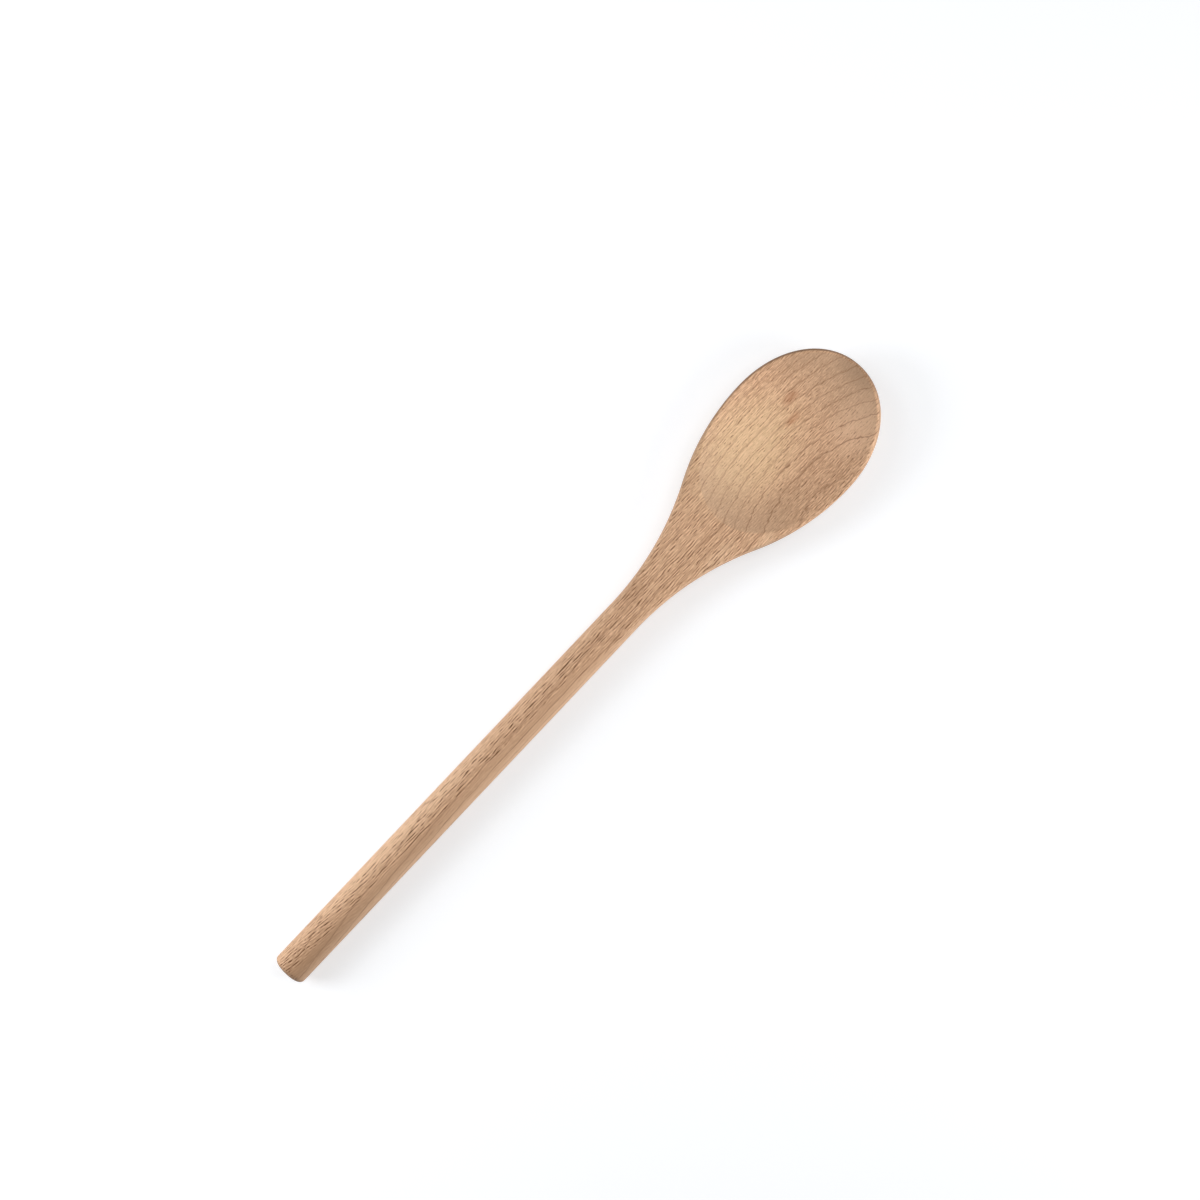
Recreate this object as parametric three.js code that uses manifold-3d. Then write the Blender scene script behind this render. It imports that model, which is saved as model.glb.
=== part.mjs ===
// Cooking spoon carved from one piece of beech: a round handle, a neck that is flat on top, and an
// egg-shaped bowl with an oval hollow. Millimetres, +Z up. The spoon is shaped along +X from the
// end of its handle, with the handle's axis at Y = 0 and Z = 0, and is then laid down on its back.

import * as THREE from 'three';
import { LoftGeometry } from 'three/addons/geometries/LoftGeometry.js';
import { mergeVertices } from 'three/addons/utils/BufferGeometryUtils.js';
import Module from 'manifold-3d';

// Handle
const SPOON_LENGTH = 300;
const HANDLE_DIAMETER = 13;
const END_FLAT_DIAMETER = 5.6;
const END_ROUND_LENGTH = 2.4;

// Outline of neck and bowl, seen from above
const BOWL_WIDTH = 54;
const BOWL_TIP_LENGTH = 35; // from the widest line to the tip
const SHOULDER_RADIUS = 88; // convex arc between the neck and the widest line
const NECK_RADIUS = 112; // concave arc between the handle and the shoulder
const TIP_FULLNESS = 2.06; // exponent of the tip's superellipse, where 2 is an ellipse

// Neck flat and rim
const RIM_HEIGHT = 4.5; // level of the rim and of the neck's flat above the handle's axis
const RIM_ROUND = 1.2; // radius between the rim's flat and the bowl's outside
const FLAT_FADE_LENGTH = 56; // over which the round handle turns into the neck's flat
const FLAT_FULL_LENGTH = 18; // from the start of the neck's arc to the full flat

// Bowl
const HOLLOW_DEPTH = 8;
const HOLLOW_BACK_LENGTH = 40; // from the widest line back to the hollow's edge on the neck
const RIM_LAND = 0.7; // between the hollow and the outline, at the sides and at the tip
const BOWL_WALL = 5; // under the deepest point of the hollow
const BOWL_LOW_LENGTH = 45; // from the lowest point of the bowl's back to the tip

// Fineness of the surfaces
const END_STEPS = 6;
const GRIP_STEPS = 8;
const FADE_STEPS = 12;
const NECK_STEPS = 26;
const TIP_STEPS = 16;
const CORNER_STEPS = 7;
const BACK_STEPS = 24;
const HOLLOW_RINGS = 10;
const HOLLOW_SIDES = 56;

// Finish
const BEECH_COLOUR = new THREE.Color(0.515, 0.315, 0.185);
const BEECH_ROUGHNESS = 0.62;

// Places along the spoon that follow from the sizes above
const handleRadius = HANDLE_DIAMETER / 2;
const bowlHalfWidth = BOWL_WIDTH / 2;
const widestX = SPOON_LENGTH - BOWL_TIP_LENGTH;
const lowestX = SPOON_LENGTH - BOWL_LOW_LENGTH;
const rise = bowlHalfWidth - handleRadius;
const arcsRadius = NECK_RADIUS + SHOULDER_RADIUS;
const neckLength = Math.sqrt(2 * arcsRadius * rise - rise * rise);
const neckX = widestX - neckLength;
const tangentX = neckX + (neckLength * NECK_RADIUS) / arcsRadius;
const flatFullX = neckX + FLAT_FULL_LENGTH;
const fadeX = flatFullX - FLAT_FADE_LENGTH;
const bowlBottom = RIM_HEIGHT - HOLLOW_DEPTH - BOWL_WALL;
const bowlSideHeight = RIM_HEIGHT - RIM_ROUND;

const { lerp, smoothstep } = THREE.MathUtils;

// Height of a quarter superellipse of unit height, at a share of its length from the top.
function quarterArch(share, exponent) {
  return Math.pow(Math.max(0, 1 - Math.pow(share, exponent)), 1 / exponent);
}

// Half width of the outline at x, moved inwards by an inset: the straight handle, two arcs that
// touch where they meet, and the rounded tip.
function outlineHalfWidth(x, inset = 0) {
  if (x <= neckX) return handleRadius - inset;
  if (x <= tangentX) {
    const radius = NECK_RADIUS + inset;
    return handleRadius + NECK_RADIUS - Math.sqrt(radius * radius - (x - neckX) ** 2);
  }
  if (x <= widestX) {
    const radius = SHOULDER_RADIUS - inset;
    return bowlHalfWidth - SHOULDER_RADIUS + Math.sqrt(radius * radius - (x - widestX) ** 2);
  }
  const share = Math.min(1, (x - widestX) / (BOWL_TIP_LENGTH - inset));
  return (bowlHalfWidth - inset) * quarterArch(share, TIP_FULLNESS);
}

// Width of the round-over beside the flat at x: the whole half circle on the handle, and the rim's
// small radius on the bowl.
function cornerWidth(x) {
  return lerp(handleRadius, RIM_ROUND, smoothstep(x, fadeX, flatFullX));
}

// Level of the section's widest line: the axis on the handle, just under the rim on the bowl.
function sideLevel(x) {
  return lerp(0, bowlSideHeight, smoothstep(x, neckX, widestX));
}

// Level of the top at x. It falls from the handle's top to the rim's level, and rounds over at the tip.
function topLevel(x) {
  const level = lerp(handleRadius, RIM_HEIGHT, smoothstep(x, fadeX, flatFullX));
  const intoRound = Math.max(0, x - SPOON_LENGTH + RIM_ROUND) / RIM_ROUND;
  return lerp(sideLevel(x), level, quarterArch(intoRound, 2));
}

// Level of the underside at x: the handle's, then down to the bowl's back and up to the tip.
function bottomLevel(x) {
  if (x <= lowestX) return lerp(-handleRadius, bowlBottom, smoothstep(x, neckX, lowestX));
  const side = sideLevel(x);
  return lerp(side, bowlBottom, quarterArch((x - lowestX) / BOWL_LOW_LENGTH, TIP_FULLNESS));
}

// Ring of points round the spoon at x, from the right side over the top and back along the
// underside. A size below 1 shrinks the ring towards the handle's axis, for the rounded end.
function section(x, size = 1) {
  const width = outlineHalfWidth(x);
  const flat = Math.max(0, outlineHalfWidth(x, cornerWidth(x)));
  const side = sideLevel(x);
  const top = topLevel(x) - side;
  const bottom = bottomLevel(x) - side;
  const ring = [];
  const add = (y, z) => ring.push(new THREE.Vector3(x, y * size, (side + z) * size));
  for (let i = 0; i <= CORNER_STEPS; i++) {
    const angle = (i / CORNER_STEPS) * (Math.PI / 2);
    add(flat + (width - flat) * Math.cos(angle), top * Math.sin(angle));
  }
  for (let i = CORNER_STEPS; i >= 0; i--) {
    const angle = (i / CORNER_STEPS) * (Math.PI / 2);
    add(-flat - (width - flat) * Math.cos(angle), top * Math.sin(angle));
  }
  for (let i = 1; i < BACK_STEPS; i++) {
    const angle = (i / BACK_STEPS) * Math.PI;
    add(-width * Math.cos(angle), bottom * Math.sin(angle));
  }
  return ring;
}

// The rings along the whole spoon: closer together round the end and towards the tip.
function sections() {
  const rings = [];
  const endFlat = END_FLAT_DIAMETER / HANDLE_DIAMETER;
  for (let i = 0; i <= END_STEPS; i++) {
    const angle = (i / END_STEPS) * (Math.PI / 2);
    const x = END_ROUND_LENGTH * (1 - Math.cos(angle));
    rings.push(section(x, lerp(endFlat, 1, Math.sin(angle))));
  }
  const addRun = (from, to, steps, share = (t) => t) => {
    for (let i = 1; i <= steps; i++) rings.push(section(lerp(from, to, share(i / steps))));
  };
  addRun(END_ROUND_LENGTH, fadeX, GRIP_STEPS);
  addRun(fadeX, flatFullX, FADE_STEPS);
  addRun(flatFullX, widestX, NECK_STEPS);
  addRun(widestX, SPOON_LENGTH, TIP_STEPS, (t) => Math.sin((t * Math.PI) / 2));
  return rings;
}

// Tool that cuts the hollow: a cap of a sphere, stretched lengthwise to an oval, that reaches above
// the rim so that its edge there is clean.
function hollowCap() {
  const halfWidth = bowlHalfWidth - RIM_LAND;
  const halfLength = (BOWL_TIP_LENGTH - RIM_LAND + HOLLOW_BACK_LENGTH) / 2;
  const radius = (halfWidth * halfWidth + HOLLOW_DEPTH * HOLLOW_DEPTH) / (2 * HOLLOW_DEPTH);
  const reach = Math.acos(1 - (HOLLOW_DEPTH + RIM_ROUND) / radius);
  const profile = [];
  for (let i = 0; i <= HOLLOW_RINGS; i++) {
    const angle = (i / HOLLOW_RINGS) * reach;
    profile.push(new THREE.Vector2(radius * Math.sin(angle), radius * (1 - Math.cos(angle))));
  }
  profile.push(new THREE.Vector2(0, HOLLOW_DEPTH + RIM_ROUND));
  const cap = new THREE.LatheGeometry(profile, HOLLOW_SIDES);
  cap.rotateX(Math.PI / 2);
  cap.scale(halfLength / halfWidth, 1, 1);
  cap.translate(SPOON_LENGTH - RIM_LAND - halfLength, 0, RIM_HEIGHT - HOLLOW_DEPTH);
  return cap;
}

const wasm = await Module();
wasm.setup();

// Closed solid of a geometry: coinciding points become one, and faces that shrink to a line go.
function solidOf(geometry) {
  const bare = new THREE.BufferGeometry();
  bare.setAttribute('position', geometry.getAttribute('position'));
  bare.setIndex(geometry.getIndex());
  const merged = mergeVertices(bare);
  const corners = merged.getIndex().array;
  const triVerts = [];
  for (let i = 0; i < corners.length; i += 3) {
    const [a, b, c] = corners.slice(i, i + 3);
    if (a !== b && b !== c && c !== a) triVerts.push(a, b, c);
  }
  const vertProperties = merged.getAttribute('position').array;
  return new wasm.Manifold(
    new wasm.Mesh({ numProp: 3, vertProperties, triVerts: new Uint32Array(triVerts) }),
  );
}

// Geometry of a solid, with flat-shaded faces.
function geometryOf(solid) {
  const { vertProperties, triVerts } = solid.getMesh();
  const shared = new THREE.BufferGeometry();
  shared.setAttribute('position', new THREE.BufferAttribute(vertProperties, 3));
  shared.setIndex(new THREE.BufferAttribute(triVerts, 1));
  const geometry = shared.toNonIndexed();
  geometry.computeVertexNormals();
  return geometry;
}

// The spoon: the lofted blank with the hollow cut into its bowl.
function makeSpoon() {
  const blank = solidOf(new LoftGeometry(sections(), { capStart: true }));
  const carved = blank.subtract(solidOf(hollowCap()));
  const beech = new THREE.MeshStandardMaterial({
    color: BEECH_COLOUR,
    roughness: BEECH_ROUGHNESS,
    metalness: 0,
  });
  const mesh = new THREE.Mesh(geometryOf(carved), beech);
  mesh.name = 'spoon';
  return mesh;
}

// Lays the spoon on its back, touching at the handle's end and under the bowl, with the middle of
// its footprint at the origin.
function layDown(mesh) {
  const drop = -handleRadius - bowlBottom;
  mesh.rotation.y = -Math.atan2(drop, lowestX - END_ROUND_LENGTH);
  const box = new THREE.Box3().setFromObject(mesh, true);
  const middle = box.getCenter(new THREE.Vector3());
  mesh.position.set(-middle.x, -middle.y, -box.min.z);
}

const spoon = makeSpoon();
layDown(spoon);

const cookingSpoon = new THREE.Group();
cookingSpoon.name = 'cooking_spoon';
cookingSpoon.add(spoon);

export default cookingSpoon;
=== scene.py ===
"""Cooking spoon carved from one piece of beech, laid on a pale floor under soft studio light."""

import logging
import math
from dataclasses import dataclass
from enum import Enum
from functools import partial, reduce

import bmesh
import bpy
import numpy as np
from bpy.types import ID, Material, Mesh, Node, Object, World
from bpy.types import NodeSocket as Socket
from mathutils import Euler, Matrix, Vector


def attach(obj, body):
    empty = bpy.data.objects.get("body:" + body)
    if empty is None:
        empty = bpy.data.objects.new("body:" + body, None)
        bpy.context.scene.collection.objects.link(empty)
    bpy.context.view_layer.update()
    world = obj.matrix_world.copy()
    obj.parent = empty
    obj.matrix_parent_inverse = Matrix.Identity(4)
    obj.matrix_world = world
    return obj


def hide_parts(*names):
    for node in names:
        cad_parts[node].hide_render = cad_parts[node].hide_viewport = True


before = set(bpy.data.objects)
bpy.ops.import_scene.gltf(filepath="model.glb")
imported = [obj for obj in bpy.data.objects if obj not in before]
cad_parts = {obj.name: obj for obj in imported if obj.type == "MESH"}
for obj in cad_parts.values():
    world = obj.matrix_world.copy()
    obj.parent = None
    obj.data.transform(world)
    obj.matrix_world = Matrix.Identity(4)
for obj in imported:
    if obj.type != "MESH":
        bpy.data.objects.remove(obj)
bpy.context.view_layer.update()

log = logging.getLogger("cooking_spoon")

MM = 0.001
SAME_POINT = 1e-6  # metres within which points of a mesh become one
NO_LENGTH = 1e-7  # metres under which an edge of a mesh goes
LEAST_WIDTH = 1e-9  # millimetres, so that nothing is divided by zero
EDGE_ROUNDS = 40
ELLIPSE = 2.0  # fullness of a plain ellipse
FULL_TURN = 2.0 * math.pi
WHITE = (1.0, 1.0, 1.0, 1.0)

Array = np.ndarray
Span = tuple[float, float]
Triple = tuple[float, float, float]
Feed = float | tuple[float, ...] | Vector | Euler | Socket


class Maths(Enum):
    """Operations on numbers that the finishes use, by Blender's names."""

    ADD = "ADD"
    SUBTRACT = "SUBTRACT"
    MULTIPLY = "MULTIPLY"
    LARGER = "MAXIMUM"
    SMALLER = "MINIMUM"
    SIZE = "ABSOLUTE"
    FRACTION = "FRACT"
    WHOLE = "FLOOR"
    SINE = "SINE"


class SeenBy(Enum):
    """Rays by which the white ground and room are seen, by Blender's names."""

    CAMERA = "Is Camera Ray"
    REFLECTION = "Is Glossy Ray"
    GLASS = "Is Transmission Ray"


def mix(first: Array, second: Array, share: Array) -> Array:
    """Goes in a straight line from first, at share 0, to second, at share 1."""
    return first + (second - first) * share


def smooth_rise(value: Array, start: float, end: float) -> Array:
    """Rises from 0 at start to 1 at end, level at both: 3 q squared minus 2 q cubed."""
    share = np.clip((value - start) / (end - start), 0.0, 1.0)
    return share * share * (3.0 - 2.0 * share)


def quarter_arch(share: Array, fullness: float) -> Array:
    """Height of a quarter superellipse: the n-th root of 1 minus the share to the power n, the fullness."""
    inside = np.clip(share, 0.0, 1.0) ** fullness
    return np.maximum(0.0, 1.0 - inside) ** (1.0 / fullness)


@dataclass(frozen=True)
class SpoonShape:
    """Sizes of the spoon in millimetres, and the formulas of its surfaces.

    The spoon lies along x from the end of its handle, with the handle's axis at y = 0 and z = 0.
    """

    length: float = 300.0
    handle_diameter: float = 13.0
    end_flat_diameter: float = 5.6
    end_round_length: float = 2.4
    bowl_width: float = 54.0
    bowl_tip_length: float = 35.0
    shoulder_radius: float = 88.0
    neck_radius: float = 112.0
    tip_fullness: float = 2.06
    rim_height: float = 4.5
    rim_round: float = 1.2
    flat_fade_length: float = 56.0
    flat_full_length: float = 18.0
    hollow_depth: float = 8.0
    hollow_back_length: float = 40.0
    rim_land: float = 0.7
    bowl_wall: float = 5.0
    bowl_low_length: float = 45.0
    hollow_edge_round: float = 0.4
    hollow_edge_share: float = 0.4  # most that the edge's round-over takes of the way to the outline

    @property
    def handle_radius(self) -> float:
        """Half the handle's diameter."""
        return self.handle_diameter / 2

    @property
    def half_bowl(self) -> float:
        """Half the bowl's width."""
        return self.bowl_width / 2

    @property
    def widest_x(self) -> float:
        """Place of the bowl's widest line."""
        return self.length - self.bowl_tip_length

    @property
    def lowest_x(self) -> float:
        """Place of the lowest point of the bowl's back."""
        return self.length - self.bowl_low_length

    @property
    def neck_x(self) -> float:
        """Place where the neck's arc leaves the straight handle."""
        return self.widest_x - self.neck_length

    @property
    def neck_length(self) -> float:
        """Length of the two arcs that touch each other, from the handle to the widest line."""
        rise = self.half_bowl - self.handle_radius
        return math.sqrt(2 * (self.neck_radius + self.shoulder_radius) * rise - rise * rise)

    @property
    def tangent_x(self) -> float:
        """Place where the neck's arc meets the shoulder's."""
        return self.neck_x + self.neck_length * self.neck_radius / (self.neck_radius + self.shoulder_radius)

    @property
    def flat_full_x(self) -> float:
        """Place from which the neck's top is flat up to the rim's round-over."""
        return self.neck_x + self.flat_full_length

    @property
    def fade_x(self) -> float:
        """Place where the neck's flat has run out on the round handle."""
        return self.flat_full_x - self.flat_fade_length

    @property
    def bowl_bottom(self) -> float:
        """Level of the lowest point of the bowl's back."""
        return self.rim_height - self.hollow_depth - self.bowl_wall

    @property
    def hollow_half_width(self) -> float:
        """Half the hollow's width at the rim."""
        return self.half_bowl - self.rim_land

    @property
    def hollow_half_length(self) -> float:
        """Half the hollow's length at the rim."""
        return (self.bowl_tip_length - self.rim_land + self.hollow_back_length) / 2

    @property
    def hollow_x(self) -> float:
        """Place of the hollow's middle."""
        return self.length - self.rim_land - self.hollow_half_length

    @property
    def hollow_radius(self) -> float:
        """Radius of the sphere whose cap is the hollow, before it is stretched lengthwise."""
        return (self.hollow_half_width**2 + self.hollow_depth**2) / (2 * self.hollow_depth)

    @property
    def tilt(self) -> float:
        """Angle at which the spoon lies, on the handle's end and the bowl's back."""
        drop = -self.handle_radius - self.bowl_bottom
        return math.atan2(drop, self.lowest_x - self.end_round_length)

    def half_width(self, x: Array, inset: Array | float = 0.0) -> Array:
        """Half width of the outline seen from above, moved inwards by an inset.

        It is a straight line, an arc bent outwards, an arc bent inwards that touches it, and a
        quarter superellipse to the tip.

        Args:
            x: Places along the spoon.
            inset: Distance that the outline is moved inwards.

        Returns:
            The half width at each place.
        """
        past_handle = np.clip(x - self.neck_x, 0.0, self.neck_length)
        before_widest = np.clip(self.widest_x - x, 0.0, self.neck_length)
        neck = (self.neck_radius + inset) ** 2 - past_handle**2
        shoulder = (self.shoulder_radius - inset) ** 2 - before_widest**2
        tip = quarter_arch((x - self.widest_x) / (self.bowl_tip_length - inset), self.tip_fullness)
        return np.select(
            [x <= self.neck_x, x <= self.tangent_x, x <= self.widest_x],
            [
                self.handle_radius - inset,
                self.handle_radius + self.neck_radius - np.sqrt(np.maximum(neck, 0.0)),
                self.half_bowl - self.shoulder_radius + np.sqrt(np.maximum(shoulder, 0.0)),
            ],
            (self.half_bowl - inset) * tip,
        )

    def side_level(self, x: Array) -> Array:
        """Level of the widest line: the axis on the handle, just under the rim on the bowl."""
        return (self.rim_height - self.rim_round) * smooth_rise(x, self.neck_x, self.widest_x)

    def top_level(self, x: Array) -> Array:
        """Level of the top's middle line.

        It goes from the handle's top down to the rim's level, and over a quarter ellipse at the tip.

        Args:
            x: Places along the spoon.

        Returns:
            The level at each place.
        """
        fade = smooth_rise(x, self.fade_x, self.flat_full_x)
        level = mix(self.handle_radius, self.rim_height, fade)
        into_round = (x - self.length + self.rim_round) / self.rim_round
        return mix(self.side_level(x), level, quarter_arch(into_round, ELLIPSE))

    def bottom_level(self, x: Array) -> Array:
        """Level of the underside's middle line.

        It goes smoothly from the handle's underside to the bowl's back, and up a quarter
        superellipse to the tip.

        Args:
            x: Places along the spoon.

        Returns:
            The level at each place.
        """
        fall = smooth_rise(x, self.neck_x, self.lowest_x)
        before = mix(-self.handle_radius, self.bowl_bottom, fall)
        arch = quarter_arch((x - self.lowest_x) / self.bowl_low_length, self.tip_fullness)
        after = mix(self.side_level(x), self.bowl_bottom, arch)
        return np.where(x <= self.lowest_x, before, after)

    def top_surface(self, x: Array, y: Array) -> Array:
        """Level of the uncut top over a point seen from above.

        It is flat in the middle and falls to the widest line over a quarter ellipse, which takes
        up the whole half width on the handle and only the rim's round-over on the bowl.

        Args:
            x: Places along the spoon.
            y: Places across it.

        Returns:
            The level at each point.
        """
        corner = mix(self.handle_radius, self.rim_round, smooth_rise(x, self.fade_x, self.flat_full_x))
        width = self.half_width(x)
        flat = np.maximum(0.0, self.half_width(x, corner))
        into_corner = (np.abs(y) - flat) / np.maximum(width - flat, LEAST_WIDTH)
        arch = quarter_arch(into_corner, ELLIPSE)
        return mix(self.side_level(x), self.top_level(x), arch)

    def hollow_surface(self, x: Array, y: Array) -> Array:
        """Level of the hollow under a point: a cap of a sphere, stretched lengthwise to an oval.

        Args:
            x: Places along the spoon.
            y: Places across it.

        Returns:
            The level at each point.
        """
        stretch = self.hollow_half_width / self.hollow_half_length
        reach = ((x - self.hollow_x) * stretch) ** 2 + y**2
        sphere = np.sqrt(np.maximum(self.hollow_radius**2 - reach, 0.0))
        return self.rim_height + self.hollow_radius - self.hollow_depth - sphere

    def lay_down(self, points: Array) -> Array:
        """Turns the spoon on to its back and centres it over the origin, in metres.

        Args:
            points: Points of the spoon along its own axis, in millimetres, one to a row.

        Returns:
            The points turned about y by the tilt, with the footprint's middle at the origin.
        """
        cos, sin = math.cos(self.tilt), math.sin(self.tilt)
        along = points[:, 0] * cos - points[:, 2] * sin
        up = points[:, 0] * sin + points[:, 2] * cos
        middle = (along.min() + along.max()) / 2
        return np.stack([along - middle, points[:, 1], up - up.min()], axis=1) * MM


@dataclass(frozen=True)
class SpoonGrid:
    """Steps in the spoon's surfaces, and how the bowl's rows fan out over the rim."""

    end_disc: int = 3
    end_round: int = 10
    grip: int = 26
    fade: int = 30
    neck: int = 18
    bowl: int = 150
    top: int = 26
    back: int = 44
    edge: int = 5
    hollow: int = 38
    neck_fan: float = 12.0  # millimetres that the rows lean back on the neck
    neck_fan_power: float = 1.25
    tip_fan: float = 0.95


@dataclass(frozen=True)
class HollowEdge:
    """Edge of the hollow seen from above: the ends of its round-over, and the sharp edge between them."""

    outer: Array
    middle: Array
    inner: Array


def sheet_faces(rows: int, columns: int, start: int, flip: bool) -> Array:
    """Quads between the neighbouring points of a grid.

    Args:
        rows: Number of rows of points.
        columns: Number of points in a row.
        start: Number of the grid's first point in the mesh.
        flip: Whether the quads turn the other way round.

    Returns:
        Four point numbers for each quad.
    """
    index = start + np.arange(rows * columns).reshape(rows, columns)
    corners = [index[:-1, :-1], index[1:, :-1], index[1:, 1:], index[:-1, 1:]]
    quads = np.dstack(corners).reshape(-1, len(corners))
    return quads[:, ::-1] if flip else quads


def closed_mesh(name: str, grids: list[Array], shape: SpoonShape) -> Mesh:
    """Joins half grids and their mirror images into one closed mesh with smooth faces.

    Args:
        name: Name of the mesh.
        grids: Arrays of points, rows by columns by three, of the half with y above zero.
        shape: Shape that lays the points down.

    Returns:
        The mesh, with coinciding points merged and its faces pointing outwards.
    """
    points, quads, start = [], [], 0
    for half in grids:
        for side in (1.0, -1.0):
            rows, columns = half.shape[:2]
            points.append((half * (1.0, side, 1.0)).reshape(-1, 3))
            quads.append(sheet_faces(rows, columns, start, flip=side < 0))
            start += rows * columns
    mesh = bpy.data.meshes.new(name)
    placed = shape.lay_down(np.vstack(points))
    mesh.from_pydata(placed.tolist(), [], np.vstack(quads).tolist())
    work = bmesh.new()
    work.from_mesh(mesh)
    bmesh.ops.remove_doubles(work, verts=work.verts, dist=SAME_POINT)
    bmesh.ops.dissolve_degenerate(work, edges=work.edges, dist=NO_LENGTH)
    bmesh.ops.recalc_face_normals(work, faces=work.faces)
    work.to_mesh(mesh)
    work.free()
    mesh.polygons.foreach_set("use_smooth", np.ones(len(mesh.polygons), dtype=bool))
    mesh.update()
    return mesh


class NodeGraph:
    """Adds linked shader nodes to the tree of a material or a world."""

    def __init__(self, owner: Material | World) -> None:
        """Starts with an empty tree."""
        owner.use_nodes = True
        self.tree = owner.node_tree
        self.tree.nodes.clear()

    def node(self, kind: str, inputs: dict[str | int, Feed], **settings: object) -> Node:
        """Adds a node.

        Args:
            kind: Blender's name of the node's type, less its start ShaderNode.
            inputs: Values or sockets for the node's inputs, by name or number.
            settings: Properties of the node.

        Returns:
            The new node.
        """
        node = self.tree.nodes.new(f"ShaderNode{kind}")
        for key, value in settings.items():
            setattr(node, key, value)
        for key, value in inputs.items():
            if isinstance(value, Socket):
                self.tree.links.new(value, node.inputs[key])
            else:
                node.inputs[key].default_value = value
        return node

    def math(self, operation: Maths, *values: Feed) -> Socket:
        """Works out an operation on one or two values."""
        return self.node("Math", dict(enumerate(values)), operation=operation.value).outputs[0]

    def total(self, *values: Feed) -> Socket:
        """Adds up any number of values."""
        return reduce(partial(self.math, Maths.ADD), values)

    def product(self, *values: Feed) -> Socket:
        """Multiplies any number of values."""
        return reduce(partial(self.math, Maths.MULTIPLY), values)

    def rest(self, share: Feed) -> Socket:
        """What a share leaves of 1."""
        return self.math(Maths.SUBTRACT, 1.0, share)

    def size(self, value: Feed) -> Socket:
        """A value without its sign."""
        return self.math(Maths.SIZE, value)

    def along(self, vector: Socket, direction: Triple) -> Socket:
        """Length of a vector along a direction, without its sign."""
        node = self.node("VectorMath", {0: vector, 1: direction}, operation="DOT_PRODUCT")
        return self.size(node.outputs["Value"])

    def parts(self, vector: Socket) -> list[Socket]:
        """The three parts of a vector."""
        return list(self.node("SeparateXYZ", {0: vector}).outputs)

    def divided(self, place: Socket, size: Triple) -> Socket:
        """Divides a place by a size along each direction."""
        return self.node("VectorMath", {0: place, 1: size}, operation="DIVIDE").outputs[0]

    def rise(self, value: Feed, start: Feed, end: Feed, low: Feed = 0.0, high: Feed = 1.0) -> Socket:
        """Goes smoothly from low, where the value is start, to high, where it is end."""
        inputs = {"Value": value, "From Min": start, "From Max": end, "To Min": low, "To Max": high}
        return self.node("MapRange", inputs, interpolation_type="SMOOTHSTEP").outputs[0]

    def tint(self, share: Feed, under: Socket | Triple, over: Triple) -> Socket:
        """Lays a share of one colour over another.

        Args:
            share: Share of the upper colour, which is kept from 0 to 1.
            under: Lower colour.
            over: Upper colour.

        Returns:
            The colour that shows.
        """
        lower = (*under, 1.0) if isinstance(under, tuple) else under
        inputs = {"Fac": share, "Color1": lower, "Color2": (*over, 1.0)}
        return self.node("MixRGB", inputs).outputs[0]

    def by_sight(self, unseen: Node, seen: Node) -> Socket:
        """Chooses a shader by what a ray is for.

        Args:
            unseen: Shader for rays that carry light from surface to surface.
            seen: Shader for rays by which a surface is seen, straight or in a reflection.

        Returns:
            The shader that the ray meets.
        """
        rays = self.node("LightPath", {}).outputs
        share = self.math(Maths.SMALLER, self.total(*(rays[ray.value] for ray in SeenBy)), 1.0)
        inputs = {0: share, 1: unseen.outputs[0], 2: seen.outputs[0]}
        return self.node("MixShader", inputs).outputs[0]


@dataclass(frozen=True)
class WoodSurface:
    """Point of the spoon's surface that a finish colours, as sockets of the finish's graph.

    The place is in millimetres on the spoon's own axes. The normal is the way the face looks, with
    its parts along the spoon and across it. The shares of the handle, the neck and the bowl add up to 1.
    """

    graph: NodeGraph
    shape: SpoonShape
    place: Socket
    x: Socket
    y: Socket
    z: Socket
    normal: Socket
    lengthwise: Socket
    sideways: Socket
    handle: Socket
    neck: Socket
    bowl: Socket

    @classmethod
    def of(cls, graph: NodeGraph, shape: SpoonShape, bowl_fade: float) -> "WoodSurface":
        """Adds the nodes of the place, the normal and the shares.

        The tilt turns the object's axes to the spoon's own. The handle fades into the neck as its
        top turns flat, and the bowl starts with the hollow.

        Args:
            graph: Graph that gets the nodes.
            shape: Spoon that lies at the tilt.
            bowl_fade: Half the length over which the neck turns into the bowl.

        Returns:
            The surface.
        """
        turn = Euler((0.0, shape.tilt, 0.0))
        shift = turn.to_matrix() @ Vector((shape.length / 2, 0.0, -shape.handle_radius))
        source = graph.node("TexCoord", {}).outputs["Object"]
        scale = (1 / MM, 1 / MM, 1 / MM)
        inputs = {"Vector": source, "Location": shift, "Rotation": turn, "Scale": scale}
        place = graph.node("Mapping", inputs).outputs[0]
        normal = graph.node("NewGeometry", {}).outputs["Normal"]
        x, y, z = graph.parts(place)
        lengthwise, sideways, _ = graph.parts(normal)
        hollow_start = shape.hollow_x - shape.hollow_half_length
        handle = graph.rise(x, shape.flat_full_x, shape.fade_x)
        bowl = graph.rise(x, hollow_start - bowl_fade, hollow_start + bowl_fade)
        neck = graph.rest(graph.total(handle, bowl))
        return cls(graph, shape, place, x, y, z, normal, lengthwise, sideways, handle, neck, bowl)

    def blend(self, values: Triple) -> Socket:
        """A value that goes smoothly from the handle's to the neck's and on to the bowl's."""
        shares = (self.handle, self.neck, self.bowl)
        return self.graph.total(*map(self.graph.product, shares, values))


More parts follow.
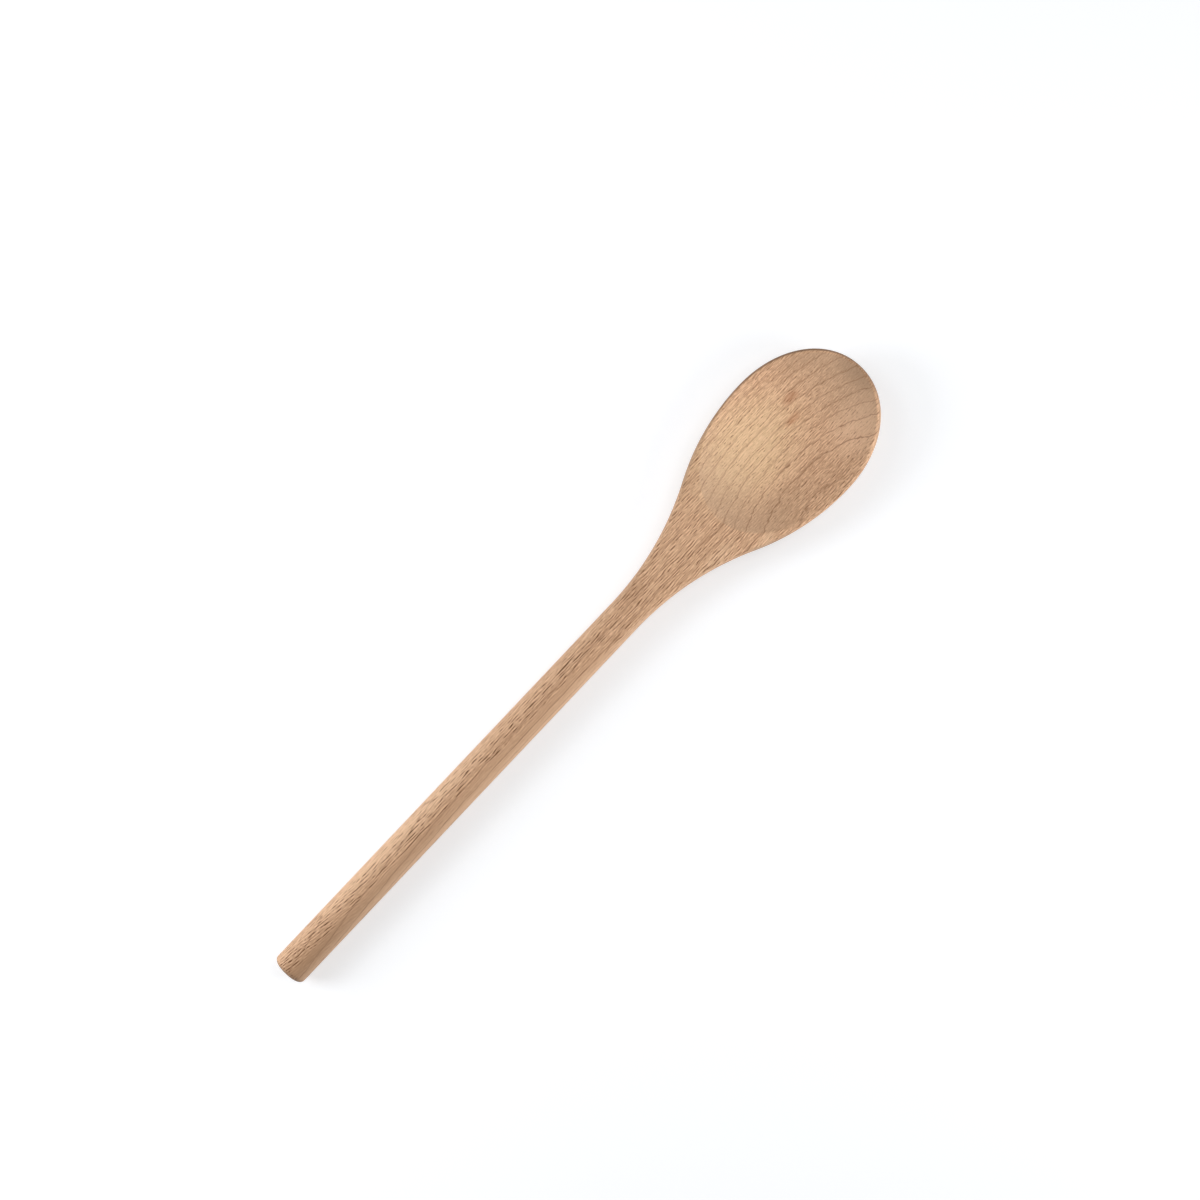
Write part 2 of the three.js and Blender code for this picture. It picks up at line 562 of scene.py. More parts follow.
@dataclass(frozen=True)
class SoftNoise:
    """Soft noise from 0 to 1 in the wood.

    It has the size of its patches along the spoon's axes, its number of finer layers, and the
    levels between which a mark that it brings out starts and is full.
    """

    patch: Triple
    layers: float = 0.0
    levels: Span = (0.30, 0.70)

    def at(self, wood: WoodSurface) -> Socket:
        """The noise at the surface."""
        inputs = {"Vector": wood.graph.divided(wood.place, self.patch), "Scale": 1.0, "Detail": self.layers}
        return wood.graph.node("TexNoise", inputs).outputs["Fac"]

    def rise(self, wood: WoodSurface, low: Feed = 0.0, high: Feed = 1.0) -> Socket:
        """Goes smoothly from low to high between the two levels of the noise."""
        return wood.graph.rise(self.at(wood), *self.levels, low, high)

    def sway(self, wood: WoodSurface, width: float) -> Socket:
        """Noise about zero, up to half a width to either side."""
        return wood.graph.product(wood.graph.total(self.at(wood), -0.5), width)


@dataclass(frozen=True)
class ToneAndLightPatch:
    """Soft patch of another colour, the wood's own tone in some places and painted light and shade in
    others: its middle and its reach along the spoon's axes.
    """

    middle: Triple
    reach: Triple
    colour: Triple
    strength: float

    def share(self, wood: WoodSurface, core: float) -> Socket:
        """Share of the patch: full in its core and gone at its reach.

        Args:
            wood: Surface that shows the patch.
            core: Part of the reach up to which the patch is full.

        Returns:
            The share, from 0 to the patch's strength.
        """
        graph = wood.graph
        shift = {0: wood.place, 1: self.middle}
        offset = graph.node("VectorMath", shift, operation="SUBTRACT").outputs[0]
        way = {0: graph.divided(offset, self.reach)}
        distance = graph.node("VectorMath", way, operation="LENGTH").outputs["Value"]
        return graph.product(graph.rise(distance, 1.0, core), self.strength)


@dataclass(frozen=True)
class GrowthRings:
    """Growth rings: dark lines of late wood, where slanted and bent layers meet the surface.

    Lengths are in millimetres. Three values are for the handle, the neck and the bowl.
    """

    width: float = 4.6  # across the spoon's top
    start: float = 0.633  # count of the rings at the middle line
    swing: float = 0.315  # by which the count runs ahead and falls behind
    swing_width: float = 35.0
    swing_start: float = -1.138
    dip: float = 0.84  # shift of a ring across the spoon for each millimetre of depth
    bow: float = 0.006
    bend: float = 0.00056
    bend_from: float = 198.0
    climb: float = 0.0007
    climb_to: float = 130.0
    wobble: float = 1.3
    wobble_noise: SoftNoise = SoftNoise((45.0, 7.0, 7.0), 2.5)
    ripple: float = 1.8
    ripple_noise: SoftNoise = SoftNoise((8.0, 2.5, 2.5), 2.0)
    line_start: Span = (0.80, 0.92)  # part of a ring, on faces across the layers and along them
    line_slope: Span = (0.60, 0.95)  # of the faces between which the line's start shifts
    line_full: float = 0.95
    line_end: Span = (0.96, 0.99)
    haze: float = 0.08  # strength of the late wood that grows through the whole ring
    faintest: float = 0.65
    gap_noise: SoftNoise = SoftNoise((7.0, 1.5, 1.5), 1.0, (0.65, 0.35))
    gaps: Triple = (0.30, 0.60, 0.25)
    strength: Triple = (0.80, 0.80, 0.72)

    @property
    def through_layers(self) -> Triple:
        """Direction straight through the layers, seen along the spoon."""
        slant = math.hypot(1.0, self.dip)
        return 0.0, 1.0 / slant, self.dip / slant

    @property
    def along_layers(self) -> Triple:
        """Direction along the layers and across the spoon."""
        _, y, z = self.through_layers
        return 0.0, z, -y

    def reach(self, wood: WoodSurface) -> Socket:
        """Distance across the rings.

        It grows across the spoon and with depth under the rim, less a share of the square across
        and of the squares of the way past the neck and of the way back along the handle, by which
        the rings bow, bend and climb, plus a wobble and a ripple.

        Args:
            wood: Surface that shows the rings.

        Returns:
            The distance, equal along each ring.
        """
        graph = wood.graph
        past = graph.math(Maths.LARGER, graph.total(wood.x, -self.bend_from), 0.0)
        before = graph.math(Maths.LARGER, graph.math(Maths.SUBTRACT, self.climb_to, wood.x), 0.0)
        return graph.total(
            graph.product(wood.y, -1.0),
            graph.product(graph.total(wood.z, -wood.shape.rim_height), -self.dip),
            graph.product(wood.y, wood.y, -self.bow),
            graph.product(past, past, -self.bend),
            graph.product(before, before, -self.climb),
            self.wobble_noise.sway(wood, self.wobble),
            self.ripple_noise.sway(wood, self.ripple),
        )

    def late_share(self, wood: WoodSurface) -> Socket:
        """Share of dark late wood: it grows through each ring and stops short at the next.

        Where a face runs nearly along the layers the late wood is thinner, so that its line keeps
        about the same width on the surface. It is fainter in some rings, and noise breaks it up.

        Args:
            wood: Surface that shows the rings.

        Returns:
            The share, from 0 to 1.
        """
        graph = wood.graph
        reach = self.reach(wood)
        turn = graph.total(graph.product(reach, FULL_TURN / self.swing_width), self.swing_start)
        swing = graph.product(graph.math(Maths.SINE, turn), self.swing)
        count = graph.total(graph.product(reach, 1 / self.width), swing, self.start)
        part = graph.math(Maths.FRACTION, count)
        ring = {"W": graph.math(Maths.WHOLE, count)}
        chance = graph.node("TexWhiteNoise", ring, noise_dimensions="1D").outputs["Value"]
        facing = graph.along(wood.normal, self.through_layers)
        line = graph.rise(part, graph.rise(facing, *self.line_slope, *self.line_start), self.line_full)
        haze = graph.product(graph.rise(part, 0.0, self.line_full), self.haze)
        return graph.product(
            graph.math(Maths.LARGER, line, haze),
            graph.rise(part, *self.line_end, 1.0, 0.0),
            graph.rest(graph.product(self.gap_noise.rise(wood), wood.blend(self.gaps))),
            graph.rise(chance, 0.0, 1.0, self.faintest, 1.0),
            wood.blend(self.strength),
        )


@dataclass(frozen=True)
class FineGrain:
    """Fine grain: pale streaks on the crests of a wave across the spoon, dark flecks in its troughs.

    Lengths are in millimetres. Three values are for the handle, the neck and the bowl.
    """

    width: float = 0.92
    slant: float = 0.15  # of the streaks at the handle's end
    slant_to: float = 40.0
    bend: float = 1.6
    bend_noise: SoftNoise = SoftNoise((7.0, 2.2, 2.2), 1.0)
    upright_slope: Span = (0.60, 0.80)  # of the faces between which the wave turns from y to z
    calm_slope: Span = (0.78, 0.94)  # of the handle's faces between which the grain calms down
    streak_noise: SoftNoise = SoftNoise((1.6, 0.6, 0.6), levels=(0.32, 0.66))
    streak_weakest: Triple = (-0.10, -0.14, -0.25)  # below 0 the crests and troughs change places
    streak_strongest: float = 0.62
    calm_streaks: float = 0.30
    pale_share: float = 0.5  # of pale wood, about which the streaks go up and down
    trough: Span = (-0.25, -0.80)
    dash_noise: SoftNoise = SoftNoise((3.2, 0.45, 0.45), levels=(0.55, 0.61))
    cut_noise: SoftNoise = SoftNoise((1.3, 0.60, 0.60), levels=(0.55, 0.42))
    calm_flecks: float = 0.08
    fleck_strength: Triple = (1.00, 0.75, 0.62)
    side_slope: Span = (0.45, 0.90)
    side_flecks: float = 0.55  # share of the flecks that the sides keep

    def wave(self, wood: WoodSurface) -> Socket:
        """Fine wave across the grain: a sine of the way across, bent by noise.

        Faces that look up show waves that follow y, and faces that look sideways waves that follow z.

        Args:
            wood: Surface that shows the grain.

        Returns:
            The wave, from -1 to 1.
        """
        graph = wood.graph
        shift = graph.product(graph.math(Maths.SMALLER, wood.x, self.slant_to), self.slant)
        across = graph.total(wood.y, shift)
        bend = graph.product(self.bend_noise.at(wood), self.bend)
        turns = [graph.total(graph.product(way, 1 / self.width), bend) for way in (across, wood.z)]
        waves = [graph.math(Maths.SINE, graph.product(turn, FULL_TURN)) for turn in turns]
        upright = graph.rise(graph.size(wood.sideways), *self.upright_slope)
        return graph.total(graph.product(waves[0], graph.rest(upright)), graph.product(waves[1], upright))

    def lively_share(self, wood: WoodSurface, rings: GrowthRings) -> Socket:
        """How lively the grain is: full but on the side of the handle that cuts through the layers."""
        facing = wood.graph.rise(wood.graph.along(wood.normal, rings.along_layers), *self.calm_slope)
        return wood.graph.rest(wood.graph.product(wood.handle, facing))

    def marks(self, wood: WoodSurface, rings: GrowthRings) -> tuple[Socket, Socket]:
        """Shares of pale streaks and of dark flecks.

        The streaks are the wave, broken up and here and there turned round by noise. The flecks
        are dashes in its troughs, where noise is high. They are cut short in the bowl and fewer on
        the sides.

        Args:
            wood: Surface that shows the marks.
            rings: Growth rings, on which it depends how lively the grain is.

        Returns:
            The share of pale wood and the share of flecks.
        """
        graph = wood.graph
        wave = self.wave(wood)
        lively = self.lively_share(wood, rings)
        streaks = graph.product(
            wave,
            self.streak_noise.rise(wood, wood.blend(self.streak_weakest), self.streak_strongest),
            graph.rise(lively, 0.0, 1.0, self.calm_streaks, 1.0),
        )
        flecks = graph.product(
            graph.rise(wave, *self.trough),
            self.dash_noise.rise(wood),
            graph.rest(graph.product(self.cut_noise.rise(wood), wood.bowl)),
            graph.rise(lively, 0.0, 1.0, self.calm_flecks, 1.0),
            wood.blend(self.fleck_strength),
            graph.rise(graph.size(wood.sideways), *self.side_slope, 1.0, self.side_flecks),
        )
        return graph.total(streaks, self.pale_share), flecks


@dataclass(frozen=True)
class BeechFinish:
    """Sanded beech: growth rings, fine grain, greyer end grain with painted shade, painted rim shade,
    painted side light and soft patches.

    Colours are linear red, green and blue. Lengths are in millimetres along the spoon's own axes.
    Slopes are parts of the normal between which a mark starts and is full.
    """

    wood: Triple = (0.366, 0.208, 0.117)
    # colour of the pale streaks, and also of the painted light on the sides
    pale_wood_and_side_light: Triple = (0.684, 0.438, 0.278)
    late_wood: Triple = (0.190, 0.090, 0.044)
    fleck: Triple = (0.100, 0.038, 0.011)
    # end grain, greyer and darker, with painted shade on the hollow's end walls
    end_grain_and_shade: Triple = (0.385, 0.260, 0.168)
    # painted shade along the rim's outer edge, where its faces look away from the lamps
    painted_rim_shade: Triple = (0.175, 0.092, 0.048)
    rings: GrowthRings = GrowthRings()
    grain: FineGrain = FineGrain()
    bowl_fade: float = 3.0
    broad_noise: SoftNoise = SoftNoise((60.0, 5.0, 5.0), 3.0)
    broad_pale: Span = (-0.08, 0.08)
    left_slope: Span = (0.20, 0.90)
    left_painted_light: float = 0.17  # painted light: the left side paler than the top, standing in for sheen and bounced light
    right_slope: Span = (-0.45, -1.0)
    # painted light: the right side paler than the top, standing in for sheen and bounced light
    right_painted_light: float = 0.36
    end_slope: Span = (0.08, 0.42)
    end_grain_and_shade_strength: float = 0.60
    # slopes, levels and strengths of the painted shade along the rim's outer edge
    rim_slope: Span = (0.20, 0.60)
    rim_fade: Span = (-0.5, 0.1)  # levels about the lower end of the rim's round-over
    rim_shade_strength: Span = (0.15, 0.70)  # at the right side, and from the middle line to the left
    roughness: Span = (0.54, 0.66)
    roughness_noise: SoftNoise = SoftNoise((18.0, 1.2, 1.2), 2.0, (0.25, 0.75))
    specular: float = 0.35
    streak_relief: float = 0.6  # height of the streaks for each depth of the flecks
    bump_depth: float = 0.00012  # metres
    bump_strength: float = 0.35
    patch_core: float = 0.2
    patch_noise: SoftNoise = SoftNoise((2.5, 0.5, 0.5), 2.0)
    patch_weakest: float = 0.6
    patches: tuple[ToneAndLightPatch, ...] = (
        # painted highlight: yellowish sheen on the left wall of the hollow
        ToneAndLightPatch((249.0, 9.5, -1.5), (34.0, 24.0, 20.0), (0.72, 0.52, 0.308), 0.60),
        # painted shade on the right of the hollow's wall by the neck
        ToneAndLightPatch((243.0, -15.0, -1.0), (20.0, 11.0, 10.0), (0.32, 0.210, 0.126), 0.36),
        # painted light on the right of the hollow near the tip
        ToneAndLightPatch((286.0, -14.5, 0.0), (20.0, 13.0, 10.0), (0.76, 0.490, 0.320), 0.72),
        # painted sheen along the upper left side of the handle
        ToneAndLightPatch((66.0, 5.0, 4.0), (60.0, 6.5, 9.0), (0.84, 0.580, 0.385), 0.44),
        ToneAndLightPatch((185.0, 3.5, 5.0), (10.0, 5.0, 7.0), (0.28, 0.150, 0.080), 0.40),
        # painted highlight: bright line along the right edge of the neck and rim
        ToneAndLightPatch((215.0, -10.0, 4.0), (13.5, 3.2, 6.0), (0.84, 0.580, 0.385), 0.38),
        ToneAndLightPatch((230.5, -18.8, 4.0), (7.5, 3.0, 6.0), (0.84, 0.580, 0.385), 0.34),
        # painted shade on the left strip between the hollow and the outline
        ToneAndLightPatch((227.5, 15.2, 4.0), (8.0, 4.2, 6.0), (0.28, 0.150, 0.080), 0.24),
        ToneAndLightPatch((301.0, -1.0, 3.0), (10.0, 16.0, 8.0), (0.18, 0.096, 0.050), 0.90),
        # painted shade on the left of the bowl near the tip
        ToneAndLightPatch((289.0, 18.5, 3.0), (16.0, 9.0, 6.0), (0.30, 0.175, 0.098), 0.45),
        ToneAndLightPatch((275.0, 10.5, -1.2), (5.2, 2.8, 3.0), (0.33, 0.140, 0.066), 0.75),
        ToneAndLightPatch((269.8, 4.6, -2.6), (5.0, 2.2, 3.0), (0.36, 0.155, 0.072), 0.65),
        ToneAndLightPatch((0.0, -2.5, 4.0), (56.0, 7.0, 9.0), (0.28, 0.155, 0.078), 0.42),
        ToneAndLightPatch((-0.6, -0.5, 0.0), (2.6, 22.0, 22.0), (0.17, 0.092, 0.040), 0.80),
    )

    def make(self, name: str, shape: SpoonShape) -> Material:
        """Builds the finish as a material.

        Args:
            name: Name of the material.
            shape: Spoon whose axes the grain follows.

        Returns:
            The material.
        """
        material = bpy.data.materials.new(name)
        graph = NodeGraph(material)
        wood = WoodSurface.of(graph, shape, self.bowl_fade)
        streaks, flecks = self.grain.marks(wood, self.rings)
        relief = graph.math(Maths.SUBTRACT, graph.product(streaks, self.streak_relief), flecks)
        bump = {"Strength": self.bump_strength, "Distance": self.bump_depth, "Height": relief}
        inputs = {
            "Base Color": self.colour(wood, streaks, flecks),
            "Roughness": self.roughness_noise.rise(wood, *self.roughness),
            "Specular IOR Level": self.specular,
            "Normal": graph.node("Bump", bump).outputs[0],
        }
        shader = graph.node("BsdfPrincipled", inputs)
        graph.node("OutputMaterial", {"Surface": shader.outputs[0]})
        return material

    def colour(self, wood: WoodSurface, streaks: Socket, flecks: Socket) -> Socket:
        """Lays the colours over each other: wood with painted side light, patches of tone and of painted
        light and shade, flecks, end grain with painted shade, late wood and painted rim shade.

        Args:
            wood: Surface that shows the colours.
            streaks: Share of pale wood in fine streaks.
            flecks: Share of dark flecks.

        Returns:
            The colour.
        """
        graph = wood.graph
        # the pale share holds the real streaks, the broad tone and the painted light on the sides
        pale = graph.total(streaks, self.painted_side_light(wood), self.broad_noise.rise(wood, *self.broad_pale))
        breaks = self.patch_noise.rise(wood, self.patch_weakest)
        ends = graph.rise(graph.size(wood.lengthwise), *self.end_slope)
        layers = [(pale, self.pale_wood_and_side_light)]
        for patch in self.patches:
            # patches of the wood's own tone and of painted light and painted shade
            layers.append((graph.product(patch.share(wood, self.patch_core), breaks), patch.colour))
        layers += [
            (flecks, self.fleck),
            # end grain with painted shade on the hollow's end walls
            (graph.product(ends, wood.bowl, self.end_grain_and_shade_strength), self.end_grain_and_shade),
            (self.rings.late_share(wood), self.late_wood),
            # painted shade along the rim's outer edge
            (self.painted_rim_shade_share(wood), self.painted_rim_shade),
        ]
        colour = self.wood
        for share, over in layers:
            colour = graph.tint(share, colour, over)
        return colour

    def painted_side_light(self, wood: WoodSurface) -> Socket:
        """Share of painted light by which the sides are paler than the top, standing in for sheen and light
        bounced from the floor.

        It fades out along the neck on the left, and along the bowl on the right.

        Args:
            wood: Surface of the sides.

        Returns:
            The share.
        """
        graph, shape = wood.graph, wood.shape
        # painted light on the sides, fading out along the neck and the bowl
        left_fade = graph.rise(wood.x, shape.tangent_x, shape.neck_x, 0.0, self.left_painted_light)
        right_fade = graph.rise(wood.x, shape.widest_x, shape.tangent_x, 0.0, self.right_painted_light)
        left = graph.product(graph.rise(wood.sideways, *self.left_slope), left_fade)
        return graph.total(left, graph.product(graph.rise(wood.sideways, *self.right_slope), right_fade))

    def painted_rim_shade_share(self, wood: WoodSurface) -> Socket:
        """Share of painted shade along the outer edge of the bowl's rim, where its faces look outwards,
        away from the lamps.

        Args:
            wood: Surface of the rim.

        Returns:
            The share, which is larger on the left of the bowl than on the right.
        """
        graph, shape = wood.graph, wood.shape
        past = graph.total(wood.x, -shape.widest_x)
        ahead = graph.product(past, wood.lengthwise, 1.0 / shape.bowl_tip_length)
        outward = graph.total(ahead, graph.product(wood.y, wood.sideways, 1.0 / shape.half_bowl))
        levels = [shape.rim_height - shape.rim_round + fade for fade in self.rim_fade]
        return graph.product(
            graph.rise(outward, *self.rim_slope),
            graph.rise(wood.z, *levels),
            graph.rise(wood.x, shape.tangent_x, shape.widest_x),
            graph.rise(wood.y, -shape.half_bowl, 0.0, *self.rim_shade_strength),
        )


def add_object(name: str, data: ID) -> Object:
    """Adds an object to the scene.

    Args:
        name: Name of the object.
        data: Its mesh, lamp or camera.

    Returns:
        The object.
    """
    thing = bpy.data.objects.new(name, data)
    bpy.context.scene.collection.objects.link(thing)
    return thing


@dataclass(frozen=True)
class CarvedSpoon:
    """The whole spoon, which is one piece of wood."""

    shape: SpoonShape = SpoonShape()
    grid: SpoonGrid = SpoonGrid()
    finish: BeechFinish = BeechFinish()
    name: str = "carved_spoon"

    def build(self) -> Object:
        """Builds the spoon with its finish and puts it in the place of the CAD node.

        Returns:
            The spoon's object.
        """
        angles = np.linspace(0.0, math.pi, self.grid.bowl + 1)
        edge = self.hollow_edge(angles)
        mesh = closed_mesh(self.name, [self.outside(angles, edge), self.inside(edge)], self.shape)
        spoon = add_object(self.name, mesh)
        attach(spoon, "root")
        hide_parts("spoon")
        mesh.materials.append(self.finish.make("beech", self.shape))
        return spoon

    def hollow_edge(self, angles: Array) -> HollowEdge:
        """Finds the hollow's edge, where its oval cap meets the top, and the ends of its round-over.

        The edge's share of the oval is worked out again and again from the top's level over it.

        Args:
            angles: Angles round the hollow, from the neck, at 0, to the tip.

        Returns:
            The edge and the ends of its round-over, seen from above.
        """
        shape = self.shape
        share = np.ones_like(angles)
        for _ in range(EDGE_ROUNDS):
            x, y = self.oval(angles, share)
            drop = shape.rim_height - shape.top_surface(x, y)
            level = shape.hollow_radius - shape.hollow_depth + drop
            share = np.sqrt(shape.hollow_radius**2 - level**2) / shape.hollow_half_width
        x, y = self.oval(angles, share)
        outer_x = self.outline_place(angles)
        gap = np.hypot(outer_x - x, shape.half_width(outer_x) - y)
        reach = np.minimum(shape.hollow_edge_round, shape.hollow_edge_share * gap)
        slope_x = -np.cos(angles) / shape.hollow_half_length
        slope_y = np.sin(angles) / shape.hollow_half_width
        steep = np.hypot(slope_x, slope_y)
        step = np.stack([slope_x / steep, slope_y / steep], axis=1) * reach[:, None]
        middle = np.stack([x, y], axis=1)
        return HollowEdge(middle + step, middle, middle - step)

    def oval(self, angles: Array, share: Array) -> tuple[Array, Array]:
        """Points of the hollow's oval at angles from the neck, shrunk to a share of it."""
        x = self.shape.hollow_x - self.shape.hollow_half_length * share * np.cos(angles)
        return x, self.shape.hollow_half_width * share * np.sin(angles)

    def outline_place(self, angles: Array) -> Array:
        """Place along the spoon of the outline's point that faces each point of the hollow's edge.

        On the neck's half it lies behind the edge's point, by the neck's fan times 1 minus the sine
        to a power. On the tip's half it lies ahead, by the rim's land times the cosine times 1 plus
        the tip's fan times the sine.

        Args:
            angles: Angles round the hollow, from the neck, at 0, to the tip.

        Returns:
            The places.
        """
        x, _ = self.oval(angles, np.ones_like(angles))
        sine, cosine = np.sin(angles), np.cos(angles)
        behind = self.grid.neck_fan * (1.0 - sine) ** self.grid.neck_fan_power
        ahead = -self.shape.rim_land * cosine * (1.0 + self.grid.tip_fan * sine)
        return x + np.where(cosine > 0, -behind, ahead)

    def outside(self, angles: Array, edge: HollowEdge) -> Array:
        """Half of the spoon's outside, with y above zero, as one grid.

        Each row runs over the top from the middle line, or from the hollow's edge, straight to the
        outline, and then round the underside to its middle line. The rows go from the middle of
        the handle's end to the tip. Over the top a row's points lie at a sine's steps, so that they
        close up towards the outline, and the underside is a quarter ellipse.

        Args:
            angles: Angles round the hollow of the bowl's rows.
            edge: The hollow's edge at these angles.

        Returns:
            Points of the grid, rows by columns by three.
        """
        shape, grid = self.shape, self.grid
        end_share = shape.end_flat_diameter / shape.handle_diameter
        turn = np.linspace(0.0, math.pi / 2, grid.end_round + 1)
        disc = np.linspace(0.0, end_share, grid.end_disc + 1)[:-1]
        grip = np.linspace(shape.end_round_length, shape.fade_x, grid.grip + 1)[1:]
        fade = np.linspace(shape.fade_x, shape.flat_full_x, grid.fade + 1)[1:]
        straight = np.hstack([grip, fade])
        round_x = shape.end_round_length * (1.0 - np.cos(turn))
        before = np.hstack([np.zeros_like(disc), round_x, straight])
        sizes = np.hstack([disc, mix(end_share, 1.0, np.sin(turn)), np.ones_like(straight)])
        fan = np.linspace(0.0, 1.0, grid.neck + 1)[1:-1]
        outline = self.outline_place(angles)
        inner_x = np.hstack([before, mix(before[-1], edge.outer[0, 0], fan), edge.outer[:, 0]])[:, None]
        outer_x = np.hstack([before, mix(before[-1], outline[0], fan), outline])[:, None]
        inner_y = np.hstack([np.zeros(len(before) + len(fan)), edge.outer[:, 1]])[:, None]
        size = np.hstack([sizes, np.ones(len(fan) + len(outline))])[:, None]
        width = shape.half_width(outer_x)
        over = np.sin(np.linspace(0.0, math.pi / 2, grid.top + 1))
        top_x = mix(inner_x, outer_x, over)
        top_y = mix(inner_y, width, over)
        under = np.linspace(0.0, math.pi / 2, grid.back + 1)[1:]
        back_y = width * np.cos(under)
        back_z = mix(shape.side_level(outer_x), shape.bottom_level(outer_x), np.sin(under))
        x = np.hstack([top_x, np.repeat(outer_x, len(under), axis=1)])
        y = np.hstack([top_y, back_y]) * size
        z = np.hstack([shape.top_surface(top_x, top_y), back_z]) * size
        return np.dstack([x, y, z])

    def inside(self, edge: HollowEdge) -> Array:
        """Half of the hollow, with y above zero, as one grid.

        Each row goes over the edge's round-over, a curve with three control points, and then
        straight to the hollow's middle, seen from above, on the stretched cap.

        Args:
            edge: The hollow's edge.

        Returns:
            Points of the grid, rows by columns by three.
        """
        shape, grid = self.shape, self.grid
        outer, middle, inner = (
            np.column_stack([points, surface(*points.T)])[:, None]
            for points, surface in (
                (edge.outer, shape.top_surface),
                (edge.middle, shape.top_surface),
                (edge.inner, shape.hollow_surface),
            )
        )
        way = np.linspace(0.0, 1.0, grid.edge + 1)[None, :, None]
        bead = outer * (1.0 - way) ** 2 + middle * (2.0 * way * (1.0 - way)) + inner * way**2
        way = np.linspace(0.0, 1.0, grid.hollow + 1)[None, 1:]
        x = mix(inner[:, :, 0], shape.hollow_x, way)
        y = mix(inner[:, :, 1], 0.0, way)
        return np.hstack([bead, np.dstack([x, y, shape.hollow_surface(x, y)])])


@dataclass(frozen=True)
class PaleGround:
    """White ground that keeps the spoon's shadow. Its width is in metres.

    Where it is seen, its colour is a little lower, and a glow lifts it to white.
    """

    width: float = 8.0
    colour: Triple = (0.94, 0.94, 0.94)
    seen_colour: Triple = (0.65, 0.67, 0.70)
    glow: float = 0.51

    def build(self) -> Object:
        """Builds the floor as one square under the spoon.

        Returns:
            The floor's object.
        """
        half = self.width / 2
        corners = [(-half, -half, 0.0), (half, -half, 0.0), (half, half, 0.0), (-half, half, 0.0)]
        mesh = bpy.data.meshes.new("floor")
        mesh.from_pydata(corners, [], [(0, 1, 2, 3)])
        mesh.materials.append(self.material())
        floor = add_object("floor", mesh)
        return floor

    def material(self) -> Material:
        """Makes pale matt paper that glows a little where it is seen.

        Returns:
            The material.
        """
        material = bpy.data.materials.new("pale_paper")
        graph = NodeGraph(material)
        paper = graph.node("BsdfDiffuse", {"Color": (*self.colour, 1.0)})
        seen_paper = graph.node("BsdfDiffuse", {"Color": (*self.seen_colour, 1.0)})
        glow = graph.node("Emission", {"Color": WHITE, "Strength": self.glow})
        seen = graph.node("AddShader", {0: seen_paper.outputs[0], 1: glow.outputs[0]})
        graph.node("OutputMaterial", {"Surface": graph.by_sight(paper, seen)})
        return material


@dataclass(frozen=True)
class Softbox:
    """Square soft lamp that looks at a point near the spoon. Metres, watts and degrees.

    The bearing is seen in the picture, anticlockwise from its right side.
    """

    name: str
    bearing: float
    height_angle: float
    watts: float
    distance: float = 0.90
    width: float = 0.40
    aim: Triple = (0.03, 0.0, 0.0)
    spoon_only: bool = False

    def build(self, picture_turn: float, spoon: Object) -> None:
        """Adds the lamp, which is out of sight and gives no reflection.

        Args:
            picture_turn: Angle from the x axis to the picture's right side, in degrees.
            spoon: The spoon, which is all that a spoon_only lamp lights.
        """
        lamp = bpy.data.lights.new(self.name, "AREA")
        lamp.shape = "SQUARE"
        lamp.size = self.width
        lamp.energy = self.watts
        bearing = math.radians(self.bearing + picture_turn)
        raised = math.radians(self.height_angle)
        level = math.cos(raised)
        back = Vector((math.cos(bearing) * level, math.sin(bearing) * level, math.sin(raised)))
        softbox = add_object(self.name, lamp)
        softbox.location = Vector(self.aim) + back * self.distance
        softbox.rotation_euler = back.to_track_quat("Z", "Y").to_euler()
        softbox.visible_camera = False
        softbox.visible_glossy = False
        if self.spoon_only:
            lit = bpy.data.collections.new(f"lit_by_{self.name}")
            lit.objects.link(spoon)
            softbox.light_linking.receiver_collection = lit


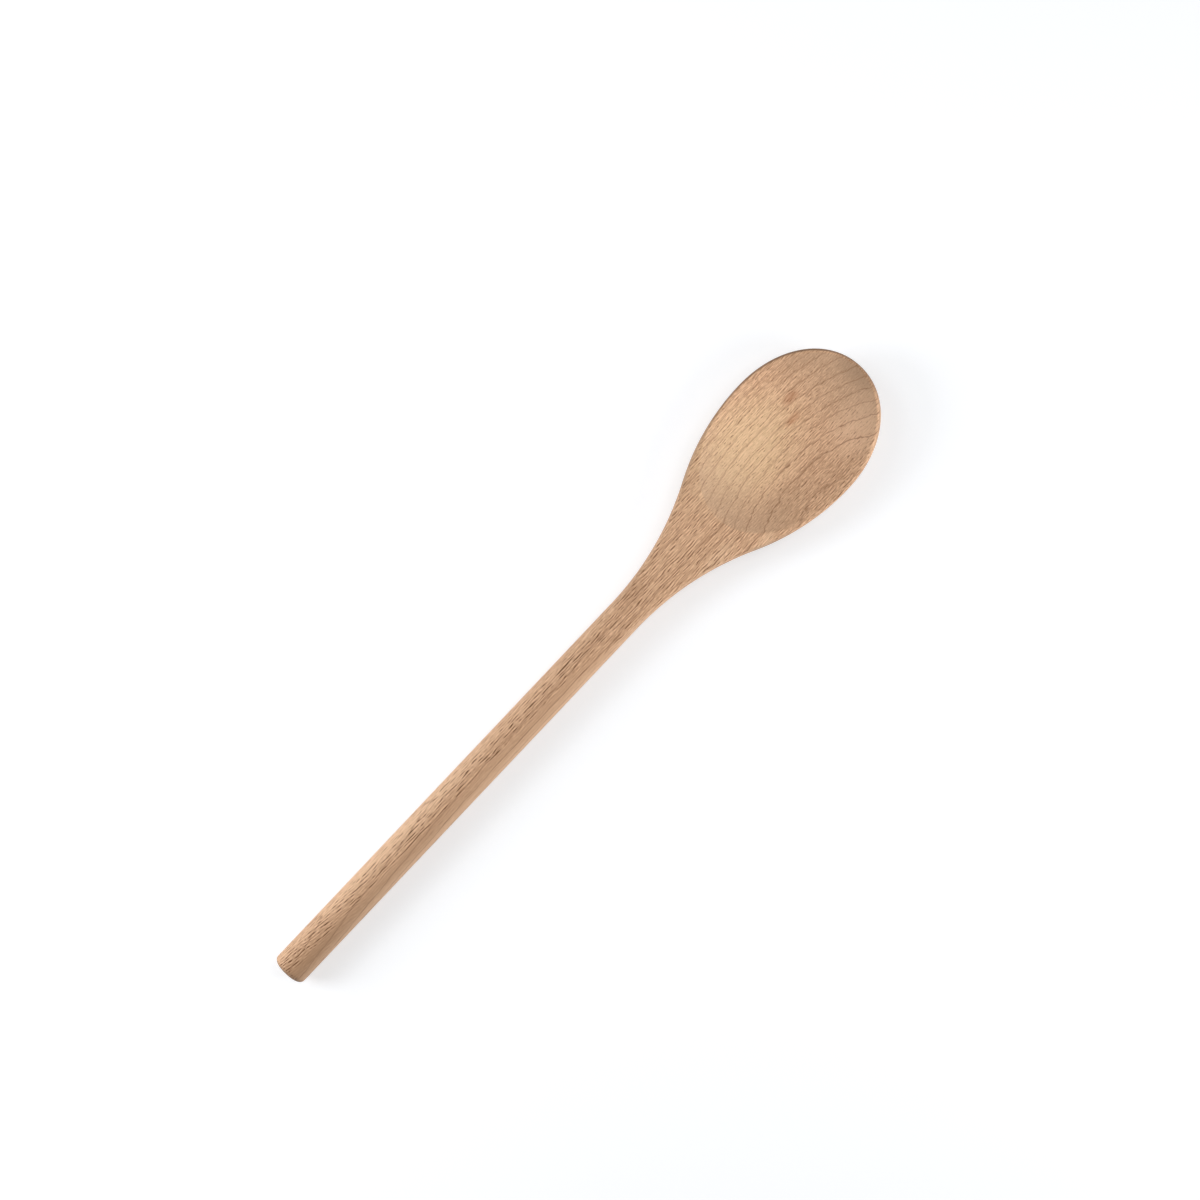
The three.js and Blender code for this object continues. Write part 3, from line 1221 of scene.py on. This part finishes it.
@dataclass(frozen=True)
class Studio:
    """Room light that fills the shadows, and the softboxes."""

    fill: float = 0.193
    lamps: tuple[Softbox, ...] = (
        Softbox("left_softbox", 180.0, 26.0, 4.20),
        Softbox("high_left_softbox", 150.0, 50.0, 1.26),
        Softbox("high_right_softbox", 30.0, 70.0, 1.38),
        Softbox("right_softbox", -20.0, 30.0, 0.748, 0.50, 0.25, (0.11, 0.0, 0.0)),
        Softbox("handle_end_softbox", 150.0, 15.0, 0.210, 0.30, 0.16, (-0.11, 0.0, 0.0)),
        Softbox("low_right_softbox", 0.0, 12.0, 3.40, spoon_only=True),
        Softbox("bowl_softbox", 0.0, 30.0, 0.500, 0.30, 0.16, (0.12, 0.0, 0.0), spoon_only=True),
    )

    def build(self, picture_turn: float, spoon: Object) -> None:
        """Adds the world and the lamps.

        Args:
            picture_turn: Angle from the x axis to the picture's right side, in degrees.
            spoon: The spoon, which some lamps light alone.
        """
        world = bpy.data.worlds.new("studio")
        graph = NodeGraph(world)
        room = graph.node("Background", {"Color": WHITE, "Strength": self.fill})
        seen = graph.node("Background", {"Color": WHITE})
        graph.node("OutputWorld", {"Surface": graph.by_sight(room, seen)})
        bpy.context.scene.world = world
        for lamp in self.lamps:
            lamp.build(picture_turn, spoon)
            log.info("lamp %s", lamp.name)


@dataclass(frozen=True)
class DownwardCamera:
    """Camera that looks straight down on the spoon. Metres and degrees, and the sensor in millimetres."""

    middle: tuple[float, float] = (0.02500, 0.01027)
    frame_width: float = 0.4306
    frame_level: float = 0.010
    height: float = 1.2
    turn: float = -46.6
    sensor: float = 36.0

    def build(self) -> None:
        """Adds the camera and makes it the scene's."""
        data = bpy.data.cameras.new("camera")
        data.sensor_width = self.sensor
        data.lens = self.sensor * (self.height - self.frame_level) / self.frame_width
        camera = add_object("camera", data)
        camera.location = (*self.middle, self.height)
        camera.rotation_euler = (0.0, 0.0, math.radians(self.turn))
        bpy.context.scene.camera = camera


def main() -> None:
    """Builds the camera, the spoon, the floor and the light, and reports each piece."""
    logging.basicConfig(level=logging.INFO, format="%(message)s")
    camera = DownwardCamera()
    camera.build()
    spoon = CarvedSpoon().build()
    log.info("piece %s with %d faces", spoon.name, len(spoon.data.polygons))
    floor = PaleGround().build()
    log.info("stage %s", floor.name)
    Studio().build(camera.turn, spoon)
    bpy.context.scene.view_settings.view_transform = "Standard"


if __name__ == "__main__":
    main()
